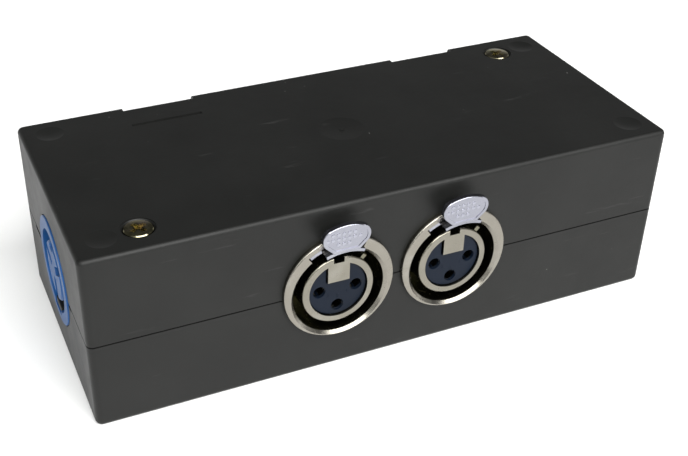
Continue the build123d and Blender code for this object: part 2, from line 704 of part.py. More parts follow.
def latch_hook(name, x):
    """Hook that locks the plug; a cross bar rides up the tab's wedges when the tab is pressed."""
    section = section_plane(front_plane(x))
    ramp = WEDGE_END + STEM_BOTTOM + RAMP_GAP
    blade_back = HOOK_BACK - HOOK_RELIEF
    with BuildPart() as hook:
        with BuildSketch(section):
            with BuildLine():
                Polyline((HOOK_FRONT, HOOK_TIP + HOOK_NOSE), (HOOK_FRONT + HOOK_NOSE, HOOK_TIP),
                         (blade_back, HOOK_TIP), (blade_back, STEM_TOP), (HOOK_FRONT, STEM_TOP), close=True)
            make_face()
        extrude(amount=HOOK_HALF, both=True)
        with BuildSketch(section):
            with BuildLine():
                Polyline((HOOK_FRONT, HOOK_TOP), (HOOK_FRONT, ramp - HOOK_FRONT),
                         (ramp - BAR_BOTTOM, BAR_BOTTOM), (HOOK_BACK, BAR_BOTTOM), (HOOK_BACK, HOOK_TOP),
                         close=True)
            make_face()
        extrude(amount=STEM_HALF, both=True)
    save(hook, f"{name}_latch_hook")


def latch_spring(name, x):
    """Coil spring between the top of the hook and the roof of the tower."""
    depth = (HOOK_FRONT + HOOK_BACK) / 2
    low = AXIS_Z + HOOK_TOP + SPRING_WIRE_R + FIT_GAP
    high = AXIS_Z + CHIMNEY_TOP - SPRING_WIRE_R - FIT_GAP
    with BuildPart() as spring:
        with BuildLine() as coil:
            Helix(pitch=SPRING_PITCH, height=high - low, radius=SPRING_R,
                  center=(x, -DEPTH / 2 + depth, low))
        with BuildSketch(Plane(origin=coil.line @ 0, z_dir=coil.line % 0)):
            Circle(SPRING_WIRE_R)
        sweep(path=coil.line, is_frenet=True)
    save(spring, f"{name}_latch_spring")


for input_name, input_x in INPUTS.items():
    input_housing(input_name, input_x)
    input_insert(input_name, input_x)
    input_contacts(input_name, input_x)
    ground_contact(input_name, input_x)
    push_tab(input_name, input_x)
    latch_hook(input_name, input_x)
    latch_spring(input_name, input_x)


def output_housing(name, x):
    """Shell of an output: flange, barrel and an open mouth around the pins."""
    face = back_plane(x)
    with BuildPart() as housing:
        rounded_flange(face)
        fillet(housing.faces().sort_by(Axis.Y)[-1].edges(), FLANGE_EDGE_R)
        barrel_and_shoulder(face)
        with BuildSketch(face.offset(FLANGE_PROUD)):
            Circle(OUTPUT_MOUTH_R)
        extrude(amount=-(FLANGE_PROUD + BARREL_DEPTH), mode=Mode.SUBTRACT)
        chamfer(housing.faces().sort_by(Axis.Y)[-1].inner_wires().edges(), MOUTH_CHAMFER)
        with BuildSketch(face.offset(FLANGE_PROUD)):
            with Locations((0, OUTPUT_MOUTH_R)):
                Rectangle(*OUTPUT_NOTCH)
        extrude(amount=-(FLANGE_PROUD + OUTPUT_NOTCH_DEPTH), mode=Mode.SUBTRACT)
    save(housing, f"{name}_housing")


def output_insert(name, x):
    """Plastic disc at the back of an output's mouth, which holds the pins."""
    face = back_plane(x)
    with BuildPart() as insert:
        with BuildSketch(face.offset(-OUTPUT_INSERT_DEPTH)):
            Circle(OUTPUT_MOUTH_R - FIT_GAP)
            with Locations(*[on_circle(CONTACT_CIRCLE_R, a) for a in CONTACT_ANGLES]):
                Circle(PIN_ROOT_R + THREAD_GAP, mode=Mode.SUBTRACT)
        extrude(amount=-OUTPUT_INSERT_THICKNESS)
    save(insert, f"{name}_insert")


def output_pins(name, x):
    """Three round-nosed pins with tails to the board."""
    face = back_plane(x)
    with BuildPart() as pins:
        for angle in CONTACT_ANGLES:
            place = on_circle(CONTACT_CIRCLE_R, angle)
            with BuildSketch(face.offset(-PIN_FRONT)):
                with Locations(place):
                    Circle(PIN_R)
            extrude(amount=PIN_FRONT - OUTPUT_INSERT_DEPTH)
            with BuildSketch(face.offset(-OUTPUT_INSERT_DEPTH)):
                with Locations(place):
                    Circle(PIN_ROOT_R)
            extrude(amount=-OUTPUT_INSERT_THICKNESS)
            tail(face, place, tail_depth(angle))
        fillet(pins.faces().filter_by(Axis.Y).group_by(Axis.Y)[-1].edges(), PIN_NOSE_R)
    save(pins, f"{name}_pins")


for output_name, output_x in OUTPUTS.items():
    output_housing(output_name, output_x)
    output_insert(output_name, output_x)
    output_pins(output_name, output_x)



def inlet_latch_outline(gap=0.0):
    """Draw the latch block at the bottom of the mains inlet, or with a gap the notch that takes it."""
    low, high = LATCH_HEIGHTS
    with Locations((0, (low + high) / 2)):
        Rectangle(2 * (LATCH_HALF + gap), high - low + 2 * gap)


# --- mains inlet: housing with its round flange, two bayonet lugs and the notch for its latch ---
with BuildPart() as inlet_housing:
    with BuildSketch(LEFT_PLANE.offset(INLET_PROUD)):
        Circle(INLET_FLANGE_R)
    extrude(amount=-INLET_FLANGE_THICKNESS)
    fillet(inlet_housing.faces().sort_by(Axis.X)[0].edges(), INLET_EDGE_R)
    with BuildSketch(LEFT_PLANE):
        Circle(INLET_BARREL_R)
    extrude(amount=-INLET_DEPTH)
    with BuildSketch(LEFT_PLANE.offset(INLET_PROUD)):
        Circle(INLET_MOUTH_R)
    extrude(amount=-(INLET_PROUD + INLET_DEPTH - BACK_WALL), mode=Mode.SUBTRACT)
    with BuildSketch(LEFT_PLANE.offset(-INLET_DEPTH)):
        Circle(INLET_CORE_R + FIT_GAP)
    extrude(amount=BACK_WALL, mode=Mode.SUBTRACT)
    with BuildSketch(LEFT_PLANE.offset(-LUG_FRONT)):
        with PolarLocations(INLET_MOUTH_R, 2, start_angle=LUG_ANGLE):
            Rectangle(2 * LUG_HEIGHT, LUG_WIDTH)
        Circle(INLET_MOUTH_R + FIT_GAP, mode=Mode.INTERSECT)
        Circle(INLET_MOUTH_R - LUG_HEIGHT, mode=Mode.SUBTRACT)
    extrude(amount=-LUG_LENGTH)
    with BuildSketch(LEFT_PLANE.offset(INLET_PROUD)) as notch:
        inlet_latch_outline(gap=FIT_GAP)
    extrude(notch.sketch, amount=-(INLET_PROUD + LATCH_LENGTH), mode=Mode.SUBTRACT)
save(inlet_housing, "mains_inlet_housing")

# --- mains inlet latch: a black block in its notch ---
with BuildPart() as inlet_latch:
    with BuildSketch(LEFT_PLANE.offset(LATCH_PROUD)) as block:
        inlet_latch_outline()
    extrude(block.sketch, amount=-(LATCH_PROUD + LATCH_LENGTH))
    fillet(inlet_latch.faces().sort_by(Axis.X)[0].edges(), LATCH_EDGE_R)
save(inlet_latch, "mains_inlet_latch")

# --- mains inlet core: the keyed centre that carries the blades ---
with BuildPart() as inlet_core:
    with BuildSketch(LEFT_PLANE.offset(INLET_CORE_PROUD)):
        Circle(INLET_CORE_R)
        with Locations((0, INLET_CORE_R)):
            Rectangle(*INLET_KEYWAY, mode=Mode.SUBTRACT)
    extrude(amount=-(INLET_CORE_PROUD + INLET_DEPTH + INLET_CORE_TAIL))
    chamfer(inlet_core.faces().sort_by(Axis.X)[0].edges(), INLET_CORE_CHAMFER)
    with BuildSketch(LEFT_PLANE.offset(INLET_CORE_PROUD)):
        for angle in BLADE_ANGLES:
            with Locations(on_circle(BLADE_CIRCLE_R, angle)):
                Rectangle(*BLADE_SLOT, rotation=angle)
    extrude(amount=-(INLET_CORE_PROUD + BLADE_SLOT_DEPTH), mode=Mode.SUBTRACT)
    with BuildSketch(LEFT_PLANE):
        for angle in BLADE_ANGLES:
            with Locations(on_circle(BLADE_CIRCLE_R, angle)):
                Rectangle(BLADE_SIZE[0] + THREAD_GAP, BLADE_SIZE[1] + THREAD_GAP, rotation=angle)
    extrude(amount=-BLADE_BACK, mode=Mode.SUBTRACT)
save(inlet_core, "mains_inlet_core")

# --- mains inlet blades, each ending in a tab for its wire ---
with BuildPart() as inlet_contacts:
    with BuildSketch(LEFT_PLANE.offset(-BLADE_FRONT)):
        for angle in BLADE_ANGLES:
            with Locations(on_circle(BLADE_CIRCLE_R, angle)):
                Rectangle(*BLADE_SIZE, rotation=angle)
    extrude(amount=-(BLADE_BACK - BLADE_FRONT))
save(inlet_contacts, "mains_inlet_contacts")

# --- circuit board, notched around the rear case boss ---
TAIL_PLACES = []
for face in [front_plane(x) for x in INPUTS.values()] + [back_plane(x) for x in OUTPUTS.values()]:
    for angle in CONTACT_ANGLES:
        offset_x, offset_z = on_circle(CONTACT_CIRCLE_R, angle)
        point = face.from_local_coords(Vector(offset_x, offset_z, -tail_depth(angle)))
        TAIL_PLACES.append((point.X, point.Y))

with BuildPart() as circuit_board:
    with BuildSketch(Plane.XY.offset(BOARD_Z)):
        with Locations(((BOARD_X[0] + BOARD_X[1]) / 2, 0)):
            Rectangle(BOARD_X[1] - BOARD_X[0], 2 * BOARD_HALF_DEPTH)
        with Locations((BOSSES[1][0] + BOARD_NOTCH_SHIFT, BOSSES[1][1] + BOARD_NOTCH_SHIFT)):
            Rectangle(BOARD_NOTCH, BOARD_NOTCH, mode=Mode.SUBTRACT)
        with Locations(*BOARD_SCREWS):
            Circle(BOARD_SCREW_R + BOARD_HOLE_GAP, mode=Mode.SUBTRACT)
        with Locations(*TAIL_PLACES):
            Circle(TAIL_R + BOARD_HOLE_GAP, mode=Mode.SUBTRACT)
    extrude(amount=BOARD_THICKNESS)
save(circuit_board, "circuit_board")

# --- board screws ---
with BuildPart() as board_screws:
    head_r, head_height = BOARD_SCREW_HEAD
    cross_length, cross_width = BOARD_SCREW_CROSS
    with BuildSketch(Plane.XY.offset(BOARD_TOP)):
        with Locations(*BOARD_SCREWS):
            Circle(head_r)
    extrude(amount=head_height)
    with BuildSketch(Plane.XY.offset(BOARD_TOP)):
        with Locations(*BOARD_SCREWS):
            Circle(BOARD_SCREW_R)
    extrude(amount=-BOARD_SCREW_LENGTH)
    with BuildSketch(Plane.XY.offset(BOARD_TOP + head_height)):
        with Locations(*BOARD_SCREWS):
            Rectangle(cross_length, cross_width)
            Rectangle(cross_width, cross_length)
    extrude(amount=-BOARD_SCREW_CROSS_DEPTH, mode=Mode.SUBTRACT)
save(board_screws, "board_screws")


def transformer(name, x):
    """Isolating audio transformer: a laminated frame around a wound bobbin."""
    middle = Plane(origin=(x, 0, BOARD_TOP + CORE_RISE), x_dir=(1, 0, 0), z_dir=(0, -1, 0))
    window_places = [(-CORE_WINDOW_X, 0), (CORE_WINDOW_X, 0)]
    window_width, window_height = CORE_WINDOW
    bobbin_half = CORE_DEPTH / 2 + WINDING_GAP
    with BuildPart() as core:
        with BuildSketch(middle):
            Rectangle(*CORE_SIZE)
            with Locations(*window_places):
                Rectangle(window_width, window_height, mode=Mode.SUBTRACT)
        extrude(amount=CORE_DEPTH / 2, both=True)
    save(core, f"{name}_core")
    with BuildPart() as winding:
        with BuildSketch(middle):
            with Locations(*window_places):
                Rectangle(window_width - 2 * WINDING_GAP, window_height - 2 * WINDING_GAP)
        extrude(amount=bobbin_half, both=True)
        for side in (-1, 1):
            with BuildSketch(middle.offset(side * bobbin_half)):
                RectangleRounded(*WINDING_SIZE, WINDING_CORNER_R)
            extrude(amount=side * (WINDING_DEPTH / 2 - bobbin_half))
    save(winding, f"{name}_winding")


for number, transformer_x in ((1, -SOCKET_X), (2, SOCKET_X)):
    transformer(f"transformer_{number}", transformer_x)

# --- sealed mains power module ---
with BuildPart() as power_module:
    with BuildSketch(Plane.XY.offset(BOARD_TOP)):
        with Locations(MODULE_PLACE):
            Rectangle(*MODULE_SIZE)
    extrude(amount=MODULE_HEIGHT)
    fillet(power_module.edges().filter_by(Axis.Z), MODULE_CORNER_R)
    fillet(power_module.faces().sort_by(Axis.Z)[-1].edges(), MODULE_EDGE_R)
save(power_module, "power_module")

# --- fuse in its two clips ---
FUSE_CAPS_X = [FUSE_X[0], FUSE_X[1] - FUSE_CAP_LENGTH]
with BuildPart() as fuse:
    with BuildSketch(Plane(origin=(FUSE_X[0], FUSE_Y, FUSE_Z), z_dir=(1, 0, 0))):
        Circle(FUSE_R)
    extrude(amount=FUSE_X[1] - FUSE_X[0])
    for cap_x in FUSE_CAPS_X:
        with BuildSketch(Plane(origin=(cap_x, FUSE_Y, FUSE_Z), z_dir=(1, 0, 0))):
            Circle(FUSE_CAP_R)
        extrude(amount=FUSE_CAP_LENGTH)
save(fuse, "fuse")

with BuildPart() as fuse_clips:
    for cap_x in FUSE_CAPS_X:
        clip_x = cap_x + (FUSE_CAP_LENGTH - CLIP_LENGTH) / 2
        clip_height = FUSE_Z + CLIP_RISE - BOARD_TOP
        with BuildSketch(Plane(origin=(clip_x, FUSE_Y, FUSE_Z), x_dir=(0, 1, 0), z_dir=(1, 0, 0))):
            with Locations((0, CLIP_RISE - clip_height / 2)):
                Rectangle(CLIP_WIDTH, clip_height)
            Circle(FUSE_CAP_R + THREAD_GAP, mode=Mode.SUBTRACT)
            with Locations((0, CLIP_RISE)):
                Rectangle(CLIP_OPENING, 2 * CLIP_RISE, mode=Mode.SUBTRACT)
        extrude(amount=CLIP_LENGTH)
save(fuse_clips, "fuse_clips")

# --- screw terminals for the mains wires ---
with BuildPart() as terminal_block:
    terminal_mid_x = (TERMINAL_X[0] + TERMINAL_X[1]) / 2
    with BuildSketch(Plane.XY.offset(BOARD_TOP)):
        with Locations((terminal_mid_x, TERMINAL_Y[1])):
            Rectangle(TERMINAL_X[1] - TERMINAL_X[0], TERMINAL_WIDTH)
    extrude(amount=TERMINAL_HEIGHT)
    with BuildSketch(Plane(origin=(TERMINAL_X[1], 0, TERMINAL_Z), x_dir=(0, 1, 0), z_dir=(1, 0, 0))):
        with Locations(*[(y, 0) for y in TERMINAL_Y]):
            Circle(WIRE_R + BOARD_HOLE_GAP)
    extrude(amount=-TERMINAL_WIRE_DEPTH, mode=Mode.SUBTRACT)
    with BuildSketch(Plane.XY.offset(BOARD_TOP + TERMINAL_HEIGHT)):
        with Locations(*[(terminal_mid_x, y) for y in TERMINAL_Y]):
            Circle(TERMINAL_SCREW_R)
            Rectangle(*TERMINAL_SCREW_SLOT, mode=Mode.SUBTRACT)
    extrude(amount=-TERMINAL_SCREW_DEPTH, mode=Mode.SUBTRACT)
save(terminal_block, "terminal_block")


def mains_wire(name, blade_angle, terminal_y):
    """Insulated wire from an inlet blade's tab to its terminal."""
    blade = LEFT_PLANE.from_local_coords(Vector(*on_circle(BLADE_CIRCLE_R, blade_angle), -BLADE_BACK))
    with BuildPart() as wire:
        with BuildLine() as route:
            FilletPolyline(
                blade,
                (WIRE_PLANE_X, blade.Y, blade.Z),
                (WIRE_PLANE_X, terminal_y, TERMINAL_Z),
                (TERMINAL_X[1] + BOARD_HOLE_GAP - TERMINAL_WIRE_DEPTH, terminal_y, TERMINAL_Z),
                radius=WIRE_BEND_R,
            )
        with BuildSketch(Plane(origin=blade, z_dir=(1, 0, 0))):
            Circle(WIRE_R)
        sweep(path=route.line)
    save(wire, name)


for wire_name, blade_angle, wire_y in zip(
    ("line_wire", "neutral_wire", "earth_wire"), BLADE_ANGLES, TERMINAL_Y
):
    mains_wire(wire_name, blade_angle, wire_y)

# --- smoothing capacitors ---
with BuildPart() as smoothing_capacitors:
    with BuildSketch(Plane.XY.offset(BOARD_TOP)):
        with Locations(*CAPACITORS):
            Circle(CAPACITOR_R)
    extrude(amount=CAPACITOR_HEIGHT)
    fillet(smoothing_capacitors.faces().group_by(Axis.Z)[-1].edges(), CAPACITOR_EDGE_R)
save(smoothing_capacitors, "smoothing_capacitors")

# --- preamplifier chip between the transformers ---
with BuildPart() as preamp_chip:
    leg_thickness, leg_width = CHIP_LEG
    with BuildSketch(Plane.XY.offset(BOARD_TOP + CHIP_RISE)):
        Rectangle(*CHIP_SIZE)
    extrude(amount=CHIP_HEIGHT)
    with BuildSketch(Plane.XY.offset(BOARD_TOP)):
        with GridLocations(CHIP_LEG_ROWS, CHIP_LEG_PITCH, 2, CHIP_LEGS):
            Rectangle(leg_thickness, leg_width)
    extrude(amount=CHIP_LEG_HEIGHT)
    with BuildSketch(Plane.XY.offset(BOARD_TOP + CHIP_LEG_HEIGHT - CHIP_SHOULDER)):
        with GridLocations(0, CHIP_LEG_PITCH, 1, CHIP_LEGS):
            Rectangle(CHIP_LEG_ROWS, leg_width)
    extrude(amount=CHIP_SHOULDER)
save(preamp_chip, "preamp_chip")

# --- small resistors ---
with BuildPart() as board_resistors:
    with BuildSketch(Plane.XY.offset(BOARD_TOP)):
        with GridLocations(RESISTOR_PITCH, 0, RESISTORS_IN_ROW, 1):
            with Locations(*RESISTOR_ROWS):
                Rectangle(*RESISTOR_SIZE)
    extrude(amount=RESISTOR_HEIGHT)
save(board_resistors, "board_resistors")
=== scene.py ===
import math

import bmesh
import bpy
from mathutils import Matrix, Vector


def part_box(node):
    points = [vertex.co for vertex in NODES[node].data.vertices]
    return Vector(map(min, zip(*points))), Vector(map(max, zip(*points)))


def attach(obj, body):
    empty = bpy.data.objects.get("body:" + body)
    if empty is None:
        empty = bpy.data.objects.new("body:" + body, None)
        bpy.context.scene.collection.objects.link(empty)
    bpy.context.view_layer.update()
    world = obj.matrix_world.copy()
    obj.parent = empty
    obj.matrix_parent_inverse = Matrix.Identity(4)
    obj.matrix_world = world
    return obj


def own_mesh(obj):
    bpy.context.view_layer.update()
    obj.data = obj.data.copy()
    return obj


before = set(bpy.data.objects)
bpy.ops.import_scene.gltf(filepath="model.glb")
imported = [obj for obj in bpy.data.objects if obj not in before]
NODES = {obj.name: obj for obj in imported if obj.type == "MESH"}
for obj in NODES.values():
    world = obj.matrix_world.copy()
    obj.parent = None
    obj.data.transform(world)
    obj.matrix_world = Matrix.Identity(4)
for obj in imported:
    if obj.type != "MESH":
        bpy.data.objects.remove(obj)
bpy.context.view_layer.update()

MM = 0.001

INPUTS = (1, 2)  # the two inputs are numbered 1 and 2, and so are the two outputs

# Places that the materials need: the case's back face, and the height of the seam round the case.
CASE_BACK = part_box("lower_case")[1].y
INLET_LOW, INLET_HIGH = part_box("mains_inlet_housing")
SEAM = (INLET_LOW.z + INLET_HIGH.z) / 2
SEAM_REACH = (0.15 * MM, 0.19 * MM)
# Painted shade on the connector metal starts 0.7 mm outside the case's front and back faces and is full 0.5
# mm inside them.
RECESS_SHADE_START = CASE_BACK + 0.7 * MM
RECESS_SHADE_FULL = CASE_BACK - 0.5 * MM

# Grip pips on a push tab: (row, pips in it) from the lowest, their spacing, size, edge as a share of the
# half size, and how far they are behind the tab's front and below its top.
PIP_ROWS = ((-1, 3), (0, 7), (1, 5))
PIP_PITCH = 1.15 * MM
PIP_HALF = Vector((0.38 * MM, 0.12 * MM, 0.38 * MM))
PIP_EDGE = 0.7
PIP_INSET = 0.125 * MM
PIP_BELOW_TOP = 2.95 * MM

# Numerals beside the contacts: their size, relief and weld distance, and each one's place in mm from the
# insert's middle along X and Z.
NUMERAL_SIZE = 1.25 * MM
NUMERAL_RELIEF = 0.05 * MM
WELD = 0.002 * MM
NUMERAL_SPOTS = {
    "input": (("2", -2.05, -1.0), ("1", 2.05, -1.0), ("3", 0, -1.6)),
    "output": (("1", 2.2, -1.0), ("2", -2.2, -1.0), ("3", 0, -1.4)),
}


# ---------------------------------------------------------------- materials

class Surface:
    """A node material in the making: the principled shader and what feeds it."""

    def __init__(self, name, colour, roughness, metallic=0.0, **sockets):
        self.material = bpy.data.materials.new(name)
        self.material.use_nodes = True
        self.tree = self.material.node_tree
        self.shader = next(n for n in self.tree.nodes if n.type == "BSDF_PRINCIPLED")
        self.coords = self.add("ShaderNodeTexCoord").outputs["Object"]
        self.shader.inputs["Base Color"].default_value = (*colour, 1)
        self.shader.inputs["Roughness"].default_value = roughness
        self.shader.inputs["Metallic"].default_value = metallic
        for socket, value in sockets.items():
            self.shader.inputs[socket.replace("_", " ")].default_value = value
        self.material.diffuse_color = (*colour, 1)

    def add(self, kind, **values):
        node = self.tree.nodes.new(kind)
        for key, value in values.items():
            setattr(node, key, value)
        return node

    def link(self, output, target):
        self.tree.links.new(output, target)

    def place(self, stretch, turn=(0, 0, 0)):
        """Object coordinates in metres, stretched and turned."""
        mapping = self.add("ShaderNodeMapping")
        mapping.inputs["Scale"].default_value = stretch
        mapping.inputs["Rotation"].default_value = turn
        self.link(self.coords, mapping.inputs["Vector"])
        return mapping.outputs["Vector"]

    def noise(self, scale, detail=2.0, rough=0.5, where=None, distortion=0.0):
        node = self.add("ShaderNodeTexNoise")
        node.inputs["Scale"].default_value = scale
        node.inputs["Detail"].default_value = detail
        node.inputs["Roughness"].default_value = rough
        node.inputs["Distortion"].default_value = distortion
        self.link(where or self.coords, node.inputs["Vector"])
        return node.outputs["Fac"]

    def cells(self, scale, where=None):
        node = self.add("ShaderNodeTexVoronoi")
        node.inputs["Scale"].default_value = scale
        self.link(where or self.coords, node.inputs["Vector"])
        return node.outputs["Distance"]

    def bands(self, scale, direction, distortion=0.0):
        node = self.add("ShaderNodeTexWave", wave_type="BANDS", bands_direction=direction)
        node.inputs["Scale"].default_value = scale
        node.inputs["Distortion"].default_value = distortion
        self.link(self.coords, node.inputs["Vector"])
        return node.outputs["Fac"]

    def span(self, value, from_low, from_high, low, high):
        """value's range from_low..from_high becomes low..high, clamped."""
        node = self.add("ShaderNodeMapRange")
        for socket, number in zip(("From Min", "From Max", "To Min", "To Max"),
                                  (from_low, from_high, low, high)):
            node.inputs[socket].default_value = number
        self.link(value, node.inputs["Value"])
        return node.outputs["Result"]

    def ramp(self, value, *stops):
        """Colours along a value: each stop is (position, (r, g, b))."""
        node = self.add("ShaderNodeValToRGB")
        elements = node.color_ramp.elements
        while len(elements) < len(stops):
            elements.new(0.5)
        for element, (position, colour) in zip(elements, stops):
            element.position = position
            element.color = (*colour, 1)
        self.link(value, node.inputs["Fac"])
        return node.outputs["Color"]

    def mix(self, amount, first, second):
        """first where amount is 0, second where it is 1; second may be a fixed colour."""
        node = self.add("ShaderNodeMix", data_type="RGBA")
        self.link(amount, node.inputs["Factor"])
        self.link(first, node.inputs["A"])
        if isinstance(second, tuple):
            node.inputs["B"].default_value = (*second, 1)
        else:
            self.link(second, node.inputs["B"])
        return node.outputs["Result"]

    def apart(self, axis, level):
        """Distance in metres from a level on one axis."""
        split = self.add("ShaderNodeSeparateXYZ")
        self.link(self.coords, split.inputs["Vector"])
        shift = self.add("ShaderNodeMath", operation="SUBTRACT")
        self.link(split.outputs[axis], shift.inputs[0])
        shift.inputs[1].default_value = level
        size = self.add("ShaderNodeMath", operation="ABSOLUTE")
        self.link(shift.outputs["Value"], size.inputs[0])
        return size.outputs["Value"]

    def sums(self, first, second, operation="ADD"):
        node = self.add("ShaderNodeMath", operation=operation)
        self.link(first, node.inputs[0])
        self.link(second, node.inputs[1])
        return node.outputs["Value"]

    def colour(self, output):
        self.link(output, self.shader.inputs["Base Color"])

    def rough(self, output):
        self.link(output, self.shader.inputs["Roughness"])

    def bump(self, *layers):
        """Each layer is (height output, depth in metres, strength)."""
        normal = None
        for height, depth, strength in layers:
            node = self.add("ShaderNodeBump")
            node.inputs["Strength"].default_value = strength
            node.inputs["Distance"].default_value = depth
            self.link(height, node.inputs["Height"])
            if normal:
                self.link(normal, node.inputs["Normal"])
            normal = node.outputs["Normal"]
        self.link(normal, self.shader.inputs["Normal"])


def mixed(colour, share, target):
    """colour moved towards target by a share."""
    return tuple(c + (t - c) * share for c, t in zip(colour, target))


def darker(colour, factor):
    return tuple(c * factor for c in colour)


def moulded(name, colour, roughness, grain=0.5, dust=0.0, seam=None, **sockets):
    """Moulded plastic: cloudy colour, a fine moulded grain, faint scuffs and a few dust specks.

    seam is the height of a joint, whose groove is dark and dull.
    """
    s = Surface(name, colour, roughness, **sockets)
    cloud = s.noise(38, 4, 0.6)
    tone = s.ramp(cloud, (0.32, darker(colour, 0.82)), (0.52, colour), (0.72, darker(colour, 1.22)))
    streak = s.noise(60, 3, 0.65, s.place((1.0, 6.0, 9.0), (0.3, 0.5, 0.9)))
    scuff = s.span(streak, 0.66, 0.74, 0.0, 0.35)
    tone = s.mix(scuff, tone, mixed(darker(colour, 1.6), 0.03, (1, 1, 1)))
    if dust:
        speck = s.span(s.cells(420), 0.055, 0.03, 0.0, 1.0)
        sparse = s.span(s.noise(150, 1), 0.62, 0.66, 0.0, dust)
        tone = s.mix(s.sums(speck, sparse, "MULTIPLY"), tone, (0.35, 0.35, 0.34))
    gloss = s.span(s.noise(55, 5, 0.7), 0.3, 0.7, roughness - 0.05, roughness + 0.07)
    if seam:
        near, far = SEAM_REACH
        groove = s.span(s.apart("Z", seam), far, near, 0.0, 1.0)
        tone = s.mix(groove, tone, darker(colour, 0.1))
        gloss = s.sums(gloss, groove, "MAXIMUM")
    s.colour(tone)
    s.rough(gloss)
    s.bump((s.noise(2600, 2, 0.6), 0.03 * MM, 0.45 * grain),
           (s.noise(900, 3, 0.5), 0.05 * MM, 0.3 * grain))
    return s.material


def plated(name, colour, roughness, tarnish, grain=0.4, brushed=None, recess_shade=None, **sockets):
    """Plated metal: a slightly uneven tone, tarnish in patches and a satin or brushed grain.

    The shade colour, if one is given, is painted shade inside the barrels: what lies well behind the front
    and back faces of the case is darkened towards it.
    """
    s = Surface(name, colour, roughness, metallic=1.0, **sockets)
    cloud = s.noise(180, 3, 0.5)
    tone = s.ramp(cloud, (0.3, darker(colour, 0.94)), (0.55, colour), (0.75, mixed(colour, 0.08, (1, 1, 1))))
    patch = s.span(s.noise(420, 5, 0.6, distortion=0.4), 0.56, 0.72, 0.0, 0.3)
    tone = s.mix(patch, tone, tarnish)
    # Painted shade: metal well inside the case's front and back faces is darkened towards the shade colour,
    # as if in the shade of the barrels.
    if recess_shade:
        depth = s.span(s.apart("Y", 0), RECESS_SHADE_START, RECESS_SHADE_FULL, 0.0, 1.0)
        tone = s.mix(depth, tone, recess_shade)
    s.colour(tone)
    where = s.place(brushed) if brushed else s.coords
    fine = s.noise(5200, 2, 0.55, where)
    s.rough(s.span(s.noise(500, 4, 0.6), 0.3, 0.7, max(roughness - 0.04, 0.05), roughness + 0.05))
    s.bump((fine, 0.012 * MM, 0.4 * grain), (s.noise(900, 2), 0.012 * MM, 0.25 * grain))
    return s.material


def case_plastic():
    """Black case plastic with a fine satin grain, scuffs and a little dust."""
    return moulded("case_plastic", (0.0072, 0.0074, 0.007), 0.45, grain=0.7, dust=0.5, seam=SEAM,
                   Specular_IOR_Level=0.22)


def yellow_zinc():
    """Yellow passivated zinc, whose tint drifts between gold, olive and rose."""
    s = Surface("yellow_zinc", (0.36, 0.32, 0.2), 0.2, metallic=1.0)
    drift = s.noise(420, 3, 0.6, distortion=0.6)
    tone = s.ramp(drift, (0.3, (0.27, 0.27, 0.16)), (0.46, (0.36, 0.33, 0.2)), (0.6, (0.42, 0.37, 0.27)),
                  (0.74, (0.38, 0.3, 0.26)))
    grime = s.span(s.noise(1500, 4, 0.7), 0.58, 0.74, 0.0, 0.4)
    s.colour(s.mix(grime, tone, (0.14, 0.12, 0.08)))
    s.rough(s.span(s.noise(900, 3), 0.3, 0.7, 0.12, 0.26))
    s.bump((s.noise(2800, 3, 0.6), 0.015 * MM, 0.3))
    return s.material


def board_laminate():
    """Green solder mask, with paler tracks under it and the glass weave just showing."""
    s = Surface("board_laminate", (0.02, 0.16, 0.07), 0.32)
    tracks = s.span(s.bands(150, "Y", 3.0), 0.62, 0.68, 0.0, 1.0)
    tone = s.mix(tracks, s.ramp(s.noise(90, 4), (0.3, (0.012, 0.1, 0.045)), (0.7, (0.025, 0.18, 0.08))),
                 (0.06, 0.3, 0.11))
    s.colour(tone)
    s.rough(s.span(s.noise(400, 3), 0.3, 0.7, 0.24, 0.4))
    s.bump((tracks, 0.03 * MM, 0.5), (s.cells(1800), 0.01 * MM, 0.3))
    return s.material


def striped(name, colour, stripe, scale, direction, share, roughness):
    """Smooth plastic with bands of a second colour."""
    s = Surface(name, colour, roughness)
    band = s.span(s.bands(scale, direction, 0.4), share, share + 0.04, 0.0, 1.0)
    base = s.ramp(s.noise(140, 3), (0.3, darker(colour, 0.8)), (0.7, darker(colour, 1.15)))
    s.colour(s.mix(band, base, stripe))
    s.rough(s.span(s.noise(500, 3), 0.3, 0.7, roughness - 0.05, roughness + 0.08))
    s.bump((s.noise(1500, 3), 0.02 * MM, 0.3))
    return s.material


def lamination_steel():
    """A stack of stamped steel sheets: fine dark lines across the depth."""
    s = Surface("lamination_steel", (0.36, 0.36, 0.37), 0.42, metallic=1.0)
    sheets = s.bands(620, "Y", 0.3)
    s.colour(s.mix(s.span(s.noise(500, 4), 0.58, 0.7, 0.0, 0.6),
                   s.ramp(sheets, (0.1, (0.1, 0.09, 0.085)), (0.4, (0.38, 0.38, 0.39))), (0.2, 0.11, 0.06)))
    s.rough(s.span(s.noise(800, 3), 0.3, 0.7, 0.34, 0.52))
    s.bump((sheets, 0.08 * MM, 0.7))
    return s.material


def fuse_glass():
    """Clear glass tube, with faint streaks."""
    s = Surface("fuse_glass", (0.86, 0.9, 0.9), 0.06, IOR=1.5, Transmission_Weight=0.85)
    streaks = s.noise(400, 3, 0.6, s.place((0.3, 1, 1)))
    s.colour(s.ramp(streaks, (0.3, (0.8, 0.85, 0.86)), (0.7, (0.92, 0.95, 0.95))))
    s.rough(s.span(streaks, 0.3, 0.7, 0.03, 0.14))
    return s.material


